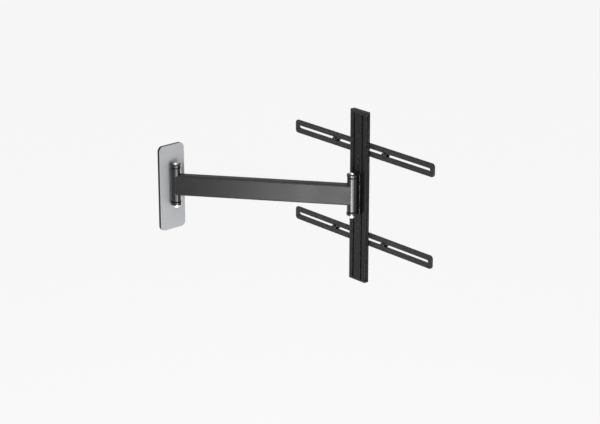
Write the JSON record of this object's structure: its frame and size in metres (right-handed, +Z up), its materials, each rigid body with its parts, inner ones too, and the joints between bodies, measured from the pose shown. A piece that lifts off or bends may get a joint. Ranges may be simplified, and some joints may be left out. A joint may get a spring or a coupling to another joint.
{
  "type": "tv wall mount",
  "caption": "Swivelling wall mount for a flat screen: a wall plate, a long arm hinged at both ends, and a vertical rail with sliding slotted strips for the screen's screws.",
  "frame": {"origin": "centre of the wall plate's back face", "axes": "+Z up, +Y into the wall, +X to the right for someone who faces the wall"},
  "size_m": [0.3186, 0.5322, 0.38],
  "materials": {
    "black_powder_coat": "satin black powder coat",
    "satin_silver": "satin anodised sheet",
    "black_anodised": "black anodised",
    "polished_chrome": "polished",
    "bright_steel": "ground",
    "black_oxide_screw": "black oxide",
    "black_plastic": "moulded",
    "plain_aluminium": "as extruded"
  },
  "bodies": {
    "wall_plate": {"wall_base_plate": "black_powder_coat", "wall_cover": "satin_silver", "wall_hinge_bracket": "black_anodised", "wall_bracket_screws": "black_oxide_screw", "wall_hinge_pin": "bright_steel", "wall_cap_upper": "polished_chrome", "wall_cap_lower": "polished_chrome"},
    "arm": {"arm_beam": "black_powder_coat", "arm_wall_knuckle": "black_anodised", "arm_head_knuckle": "black_anodised", "wall_bush_upper": "black_plastic", "wall_bush_lower": "black_plastic", "head_bush_upper": "black_plastic", "head_bush_lower": "black_plastic"},
    "head": {"head_hinge_bracket": "black_anodised", "head_bracket_screws": "black_oxide_screw", "head_hinge_pin": "bright_steel", "head_cap_upper": "polished_chrome", "head_cap_lower": "polished_chrome", "head_rail": "black_anodised", "rail_end_cap_top": "black_plastic", "rail_end_cap_bottom": "black_plastic", "rail_lock_screws": "black_oxide_screw"},
    "upper_strip_set": {"upper_strip": "black_powder_coat", "upper_strip_slider": "plain_aluminium", "upper_strip_screws": "black_oxide_screw", "upper_tv_screws": "black_oxide_screw", "upper_tv_spacers": "black_plastic"},
    "lower_strip_set": {"lower_strip": "black_powder_coat", "lower_strip_slider": "plain_aluminium", "lower_strip_screws": "black_oxide_screw", "lower_tv_screws": "black_oxide_screw", "lower_tv_spacers": "black_plastic"}
  },
  "joints": [
    {"name": "wall_swivel", "type": "hinge", "parent": "wall_plate", "child": "arm", "pos_m": [0, -0.0195, 0.009], "axis": [0, 0, 1], "range_deg": [-128.4, 51.6]},
    {"name": "head_swivel", "type": "hinge", "parent": "arm", "child": "head", "pos_m": [0.2379, -0.31966, 0.009], "axis": [0, 0, 1], "range_deg": [-141.6, 38.4]},
    {"name": "upper_strip_height", "type": "slide", "parent": "head", "child": "upper_strip_set", "axis": [0, 0, 1], "range_m": [-0.04, 0.04]},
    {"name": "lower_strip_height", "type": "slide", "parent": "head", "child": "lower_strip_set", "axis": [0, 0, 1], "range_m": [-0.04, 0.04]}
  ]
}
